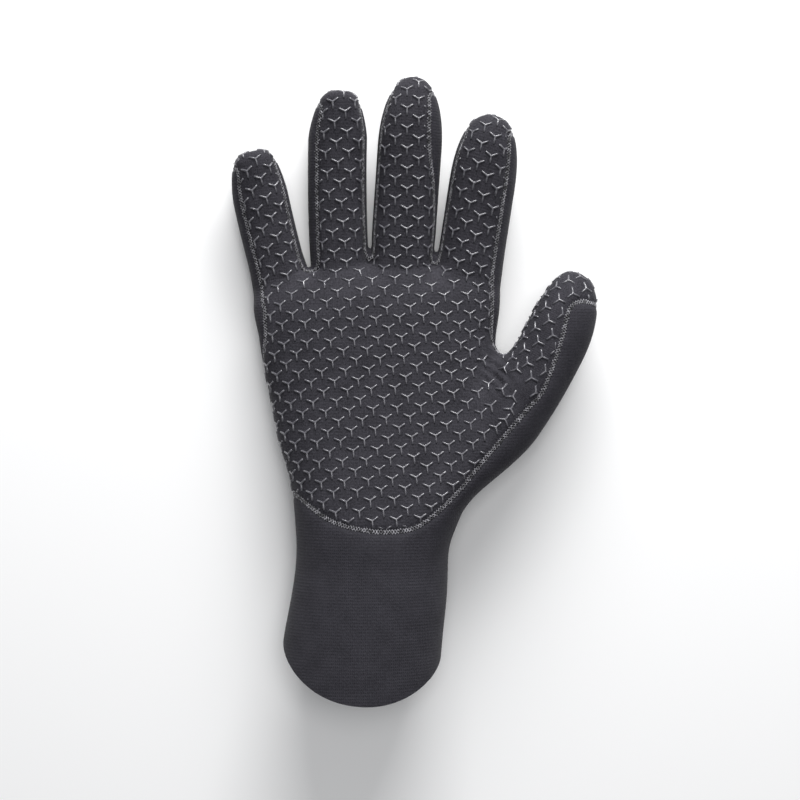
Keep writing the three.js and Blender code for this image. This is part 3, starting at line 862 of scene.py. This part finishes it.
def mark_places():
    """Position, upright direction and normal of every mark on the palm and just past its seam."""
    faces = np.vstack([palm_faces, back_faces])
    near = from_seam[faces].max(1) > -PAST_SEAM
    faces = faces[near & (np.ptp(pattern[faces][:, :, 0], axis=1) < JUMP)]
    grid = (pattern[faces] - ONE_MARK) @ np.linalg.inv(lattice).T
    target = np.round(grid.mean(1))
    edge1, edge2, reach = grid[:, 1] - grid[:, 0], grid[:, 2] - grid[:, 0], target - grid[:, 0]
    area = crossed(edge1, edge2)
    area = np.where(np.abs(area) < 1e-9, 1e-9, area)
    b, c = crossed(reach, edge2) / area, crossed(edge1, reach) / area
    hit = (b >= 0) & (c >= 0) & (b + c <= 1)
    faces, b, c = faces[hit], b[hit, None], c[hit, None]
    mix = lambda values: values[faces[:, 0]] * (1 - b - c) + values[faces[:, 1]] * b + values[faces[:, 2]] * c
    place, normal = mix(smooth_skin), mix(normals)
    flat1, flat2 = (pattern[faces[:, i]] - pattern[faces[:, 0]] for i in (1, 2))
    side1, side2 = (smooth_skin[faces[:, i]] - smooth_skin[faces[:, 0]] for i in (1, 2))
    turn = crossed(flat1, flat2)
    p, q = crossed(up_column, flat2) / turn, crossed(flat1, up_column) / turn
    up = p[:, None] * side1 + q[:, None] * side2
    up -= normal * (up * normal).sum(1)[:, None]
    kept = []
    for i in range(len(place)):
        if not kept or np.linalg.norm(place[kept] - place[i], axis=1).min() > ROOM:
            kept.append(i)
    return place[kept], unit(up[kept]), unit(normal[kept])


mark_at, mark_up, mark_normal = mark_places()
print("marks:", len(mark_at))

# %% [markdown]
# ## One mark
# The mark is three short bars that meet at equal angles, drawn as three outlines, one above another,
# that narrow upwards. That rounds its shoulders, so it catches a thin line of light, with few faces. It
# is kept flat here, with its heights beside it, because the cloth it will lie on isn't flat.

# %% Mark template
ARM, STROKE = 3.1, 0.85  # mm, an arm's length and width
LAYERS = [(1.15, 1.02, -0.25), (0.95, 1.0, 0.2), (0.4, 0.94, 0.52)]  # width share, arm share, height in mm
ARM_CORNERS = ((0.45, 0.5), (1, 0.42), (1, -0.42), (0.45, -0.5))  # shares: along the arm, across it
RING = 15  # corners of an outline, five to an arm


def mark_outline(width, arm):
    ring = []
    for turn in (-90, 30, 150):
        c, s = math.cos(math.radians(turn)), math.sin(math.radians(turn))
        for forward, aside in ARM_CORNERS:
            reach, beside = forward * arm, aside * width
            ring.append((reach * c + beside * s, reach * s - beside * c))
        a, armpit = math.radians(turn + 60), width / math.sqrt(3)
        ring.append((armpit * math.cos(a), armpit * math.sin(a)))
    return ring


corners, heights, faces = [], [], []
for width, arm, height in LAYERS:
    corners += [(x * MM, y * MM, 0) for x, y in mark_outline(STROKE * width, ARM * arm)]
    heights += [height * MM] * RING
for layer in (0, RING):
    for i in range(RING):
        after = (i + 1) % RING
        faces.append((layer + i, layer + after, layer + RING + after, layer + RING + i))
for layer, wound in ((0, -1), (2 * RING, 1)):
    for i in range(0, RING, 5):
        arm_end, arm_root = [i, i + 1, i + 2, i + 3], [(i - 1) % RING, i, i + 3, i + 4]
        faces += [[layer + c for c in quad[::wound]] for quad in (arm_end, arm_root)]
    faces.append([layer + c for c in (4, 9, 14)[::wound]])
mark_mesh = bpy.data.meshes.new("grip_mark")
mark_mesh.from_pydata(corners, [], faces)
mark_mesh.shade_smooth()
store(mark_mesh, "height", heights)
grip_mark = place_object("grip_mark", mark_mesh)
print("one mark:", len(faces), "faces")

# %% [markdown]
# ## Printing
# The tree copies the mark onto the places, then moves every corner to the nearest point of the skin and
# lifts it by its own height. The whole skin is sampled, back panel too, so that a mark's arm that runs
# past the seam still finds cloth to sink into.


# %% Print the marks
def geometry_tree(name, **sockets):
    """A tree with inputs that are each a number or, named as text, another kind of thing."""
    tree = bpy.data.node_groups.new(name, "GeometryNodeTree")
    tree.interface.new_socket("Geometry", in_out="INPUT", socket_type="NodeSocketGeometry")
    for socket, value in sockets.items():
        kind = value if isinstance(value, str) else "Float"
        made = tree.interface.new_socket(socket, in_out="INPUT", socket_type="NodeSocket" + kind)
        if kind == "Float":
            made.default_value = value
    tree.interface.new_socket("Geometry", in_out="OUTPUT", socket_type="NodeSocketGeometry")
    return tree, tree.nodes.new("NodeGroupInput").outputs, tree.nodes.new("NodeGroupOutput")


def run_tree(thing, tree, **values):
    """Sets the tree's inputs by their identifiers, and turns what it makes into a plain mesh."""
    modifier = thing.modifiers.new(tree.name, "NODES")
    modifier.node_group = tree
    for item in tree.interface.items_tree:
        if item.in_out == "INPUT" and item.name in values:
            modifier[item.identifier] = values[item.name]
    bpy.context.view_layer.update()
    made = plain_mesh(thing)
    thing.modifiers.clear()
    thing.data = made


def read(tree, name, kind="FLOAT_VECTOR"):
    """What is kept for each point under the name."""
    return add_node(tree, "GeometryNodeInputNamedAttribute", inputs={"Name": name}, data_type=kind)


def scaled(tree, vector, amount):
    return add_node(tree, "ShaderNodeVectorMath", {0: vector, "Scale": amount}, operation="SCALE")


def added(tree, one, other):
    return add_node(tree, "ShaderNodeVectorMath", {0: one, 1: other}, operation="ADD")


def hand_out(tree, result, geometry, material):
    """Gives smooth faces of the material as the tree's result."""
    smooth = add_node(tree, "GeometryNodeSetShadeSmooth", {"Geometry": geometry})
    done = add_node(tree, "GeometryNodeSetMaterial", {"Geometry": smooth, "Material": material})
    link(tree, done, result, "Geometry")


whole_faces = np.vstack([palm_faces, back_faces])
whole_skin = mesh_of("whole_skin", points, whole_faces, from_seam=from_seam, outward=normals)
tree, given, result = geometry_tree(
    "print_marks", Mark="Object", Skin="Object", Margin=0.9, Clear=1.7, Sunk=-0.9 * MM, Material="Material",
)
mark_shape = add_node(tree, "GeometryNodeObjectInfo", {"Object": given["Mark"]}).outputs["Geometry"]
cloth = add_node(tree, "GeometryNodeObjectInfo", {"Object": given["Skin"]}).outputs["Geometry"]
stood = add_node(tree, "FunctionNodeAlignRotationToVector", {"Vector": read(tree, "outward")}, axis="Z")
turned = add_node(
    tree, "FunctionNodeAlignRotationToVector", {"Rotation": stood, "Vector": read(tree, "upright")},
    axis="Y", pivot_axis="Z",
)
copies = add_node(
    tree, "GeometryNodeInstanceOnPoints",
    {"Points": given["Geometry"], "Instance": mark_shape, "Rotation": turned},
)
real = add_node(tree, "GeometryNodeRealizeInstances", {"Geometry": copies})
sample = lambda value, kind: add_node(
    tree, "GeometryNodeSampleNearestSurface", {"Mesh": cloth, "Value": value}, data_type=kind,
)
foot = sample(add_node(tree, "GeometryNodeInputPosition"), "FLOAT_VECTOR")
lift_way = sample(read(tree, "outward"), "FLOAT_VECTOR")
inland = add_node(  # from 0 at the margin beside the seam to 1 where a mark is clear of it, in mm
    tree, "ShaderNodeMapRange",
    {
        "Value": sample(read(tree, "from_seam", "FLOAT"), "FLOAT"),
        "From Min": given["Margin"], "From Max": given["Clear"],
    },
    interpolation_type="SMOOTHSTEP",
)
height = add_node(
    tree, "ShaderNodeMix", {"Factor": inland, "A": given["Sunk"], "B": read(tree, "height", "FLOAT")},
)
above = added(tree, foot, scaled(tree, lift_way, height))
laid = add_node(tree, "GeometryNodeSetPosition", {"Geometry": real, "Position": above})
hand_out(tree, result, laid, given["Material"])

grip = mesh_of("grip_print", mark_at, outward=mark_normal, upright=mark_up)
run_tree(grip, tree, Mark=grip_mark, Skin=whole_skin, Material=rubber)
print("grip print:", len(grip.data.polygons), "faces")

# %% [markdown]
# ## Seam thread
# The panels are joined by a zigzag stitch that bridges the joint. Its thread dives into the cloth on
# each side and rises over the middle. A zigzag follows a path, so it is made by Geometry Nodes: the
# seam's line is divided evenly, its points swing from one side to the other, and a round thread is swept
# along the result. Two such threads cross, as on a seam that is sewn from both faces.


# %% Seam's line
def seam_loop(faces):
    """The palm panel's edge, in order."""
    edges = np.vstack([faces[:, [0, 1]], faces[:, [1, 2]], faces[:, [2, 0]]])
    owned = {tuple(edge) for edge in edges}
    following = {a: b for a, b in owned if (b, a) not in owned}
    best = []
    while following:
        start, now = next(iter(following.items()))
        loop = [start]
        del following[start]
        while now != start and now in following:
            loop.append(now)
            now = following.pop(now)
        best = max(best, loop, key=len)
    return np.array(best)


STITCH_STEP = 0.6  # mm along the seam between two of the thread's points
SWING = 4  # points to a zigzag: one side, the middle, the other side, the middle
EVENING = 6  # times that the cut edge's steps are evened out
loop = seam_loop(palm_faces)
line = np.vstack([smooth_skin[loop], smooth_skin[loop[:1]]])
for _ in range(EVENING):
    line[1:-1] = (line[:-2] + 2 * line[1:-1] + line[2:]) / 4
length = np.concatenate([[0], np.cumsum(np.linalg.norm(np.diff(line, axis=0), axis=1))])
count = int(round(length[-1] / STITCH_STEP / SWING)) * SWING
evenly = np.linspace(0, length[-1], count, endpoint=False)
seam_at = np.stack([np.interp(evenly, length, line[:, i]) for i in range(3)], 1)
seam_normal = unit(slope_of(glove_distance, seam_at)[1])
forward = np.roll(seam_at, -1, 0) - np.roll(seam_at, 1, 0)
beside = unit(np.cross(seam_normal, forward))
print("seam:", round(length[-1]), "mm,", count // SWING, "zigzags")

# %% Sew the seam
THREAD_SIDES = 6
tree, given, result = geometry_tree(
    "sew_zigzag", Reach=1.15 * MM, Radius=0.24 * MM, Low=-0.5 * MM, High=-0.35 * MM, Unevenness=0.45 * MM,
    Material="Material",
)


def maths(tree, operation, first, second=None, number=None):
    """A sum in the tree, with a link or a plain number as its second value."""
    links = {0: first} if second is None else {0: first, 1: second}
    inputs = {} if number is None else {1: number}
    return add_node(tree, "ShaderNodeMath", links, inputs, operation=operation)


index = add_node(tree, "GeometryNodeInputIndex")
swing = maths(tree, "COSINE", maths(tree, "MULTIPLY", index, number=2 * math.pi / SWING))
outermost = maths(tree, "ABSOLUTE", swing)
height = add_node(tree, "ShaderNodeMix", {"Factor": outermost, "A": given["High"], "B": given["Low"]})
out = scaled(tree, read(tree, "outward"), height)
both = add_node(tree, "GeometryNodeJoinGeometry")
for seed, way in ((7, 1), (8, -1)):
    uneven = add_node(tree, "FunctionNodeRandomValue", {3: given["Unevenness"]}, {8: seed}, data_type="FLOAT")
    reach = maths(tree, "SUBTRACT", given["Reach"], uneven.outputs[1])
    aside = maths(tree, "MULTIPLY", maths(tree, "MULTIPLY", swing, number=way), reach)
    shift = added(tree, out, scaled(tree, read(tree, "beside"), aside))
    moved = add_node(tree, "GeometryNodeSetPosition", {"Geometry": given["Geometry"], "Offset": shift})
    link(tree, moved, both, "Geometry")
path = add_node(tree, "GeometryNodeMeshToCurve", {"Mesh": both})
radius, sides = {"Radius": given["Radius"]}, {"Resolution": THREAD_SIDES}
section = add_node(tree, "GeometryNodeCurvePrimitiveCircle", radius, sides)
sweep = {"Curve": path, "Profile Curve": section}
tube = add_node(tree, "GeometryNodeCurveToMesh", sweep, {"Fill Caps": True})
real = add_node(tree, "GeometryNodeRealizeInstances", {"Geometry": tube})
hand_out(tree, result, real, given["Material"])

ring = [(i, (i + 1) % count) for i in range(count)]
stitching = mesh_of("seam_thread", seam_at, edges=ring, outward=seam_normal, beside=beside)
run_tree(stitching, tree, Material=thread)
print("seam thread:", len(stitching.data.polygons), "faces")

# %% [markdown]
# ## Studio
# The glove lies on a white table under a camera that looks straight down, as a catalogue picture is
# taken. A wide lamp beyond the fingertips gives the highlights on the upper arms of the grip marks. A
# weaker one overhead keeps the table white, and a pale sky fills the shade.

# %% Camera, lights and floor
FLOOR_HALF, FLOOR_DROP = 3.0, 0.3 * MM  # m, and the gap that keeps table and glove from flickering
camera_data = bpy.data.cameras.new("camera")
camera_data.lens, camera_data.sensor_width = 85, 36  # mm
camera = place_object("camera", camera_data)
camera.location = (-5.3 * MM, -5.4 * MM, 832 * MM)
bpy.context.scene.camera = camera


def lamp(name, place, aim, size, watts):
    """A rectangular lamp, with places and sizes in metres."""
    data = bpy.data.lights.new(name, "AREA")
    data.shape, data.size, data.size_y, data.energy = "RECTANGLE", *size, watts
    thing = place_object(name, data)
    thing.location = place
    thing.rotation_euler = (Vector(aim) - Vector(place)).to_track_quat("-Z", "Y").to_euler()


lamp("key_lamp", (0.14, 1.05, 0.48), (0, 0, 0.02), (0.8, 0.5), 22)
lamp("overhead", (0.1, 0.1, 1.5), (0, 0, 0), (0.7, 0.7), 7.5)
world = bpy.data.worlds.new("studio")
world.use_nodes = True
sky = world.node_tree.nodes["Background"].inputs
sky["Color"].default_value, sky["Strength"].default_value = linear("#f4f6fa"), 0.22
bpy.context.scene.world = world
bpy.context.scene.view_settings.view_transform = "Standard"  # keeps a white table white

floor_mesh = bpy.data.meshes.new("floor")
ways = ((-1, -1), (1, -1), (1, 1), (-1, 1))
floor_mesh.from_pydata([(x * FLOOR_HALF, y * FLOOR_HALF, -FLOOR_DROP) for x, y in ways], [], [(0, 1, 2, 3)])
paper, _ = new_material("white_paper", {"Base Color": linear("#fbfbfb"), "Roughness": 0.9})
floor_mesh.materials.append(paper)
floor = place_object("floor", floor_mesh)
print("camera", round(camera.location.z, 3), "m above the floor")

# %% [markdown]
# ## Hand over
# The helpers that were only sampled are removed. Each piece is tied to the one body, and each cloth
# stands for the plain CAD panel beneath it.

# %% Hand over
for helper in (whole_skin, grip_mark):
    bpy.data.objects.remove(helper)
slots = ["palm_neoprene", "back_neoprene", "grip_print", "seam_thread"]
for piece, slot_name in zip((palm, back, grip, stitching), slots):
    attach(piece, "root")
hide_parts("palm_panel")
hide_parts("back_panel")
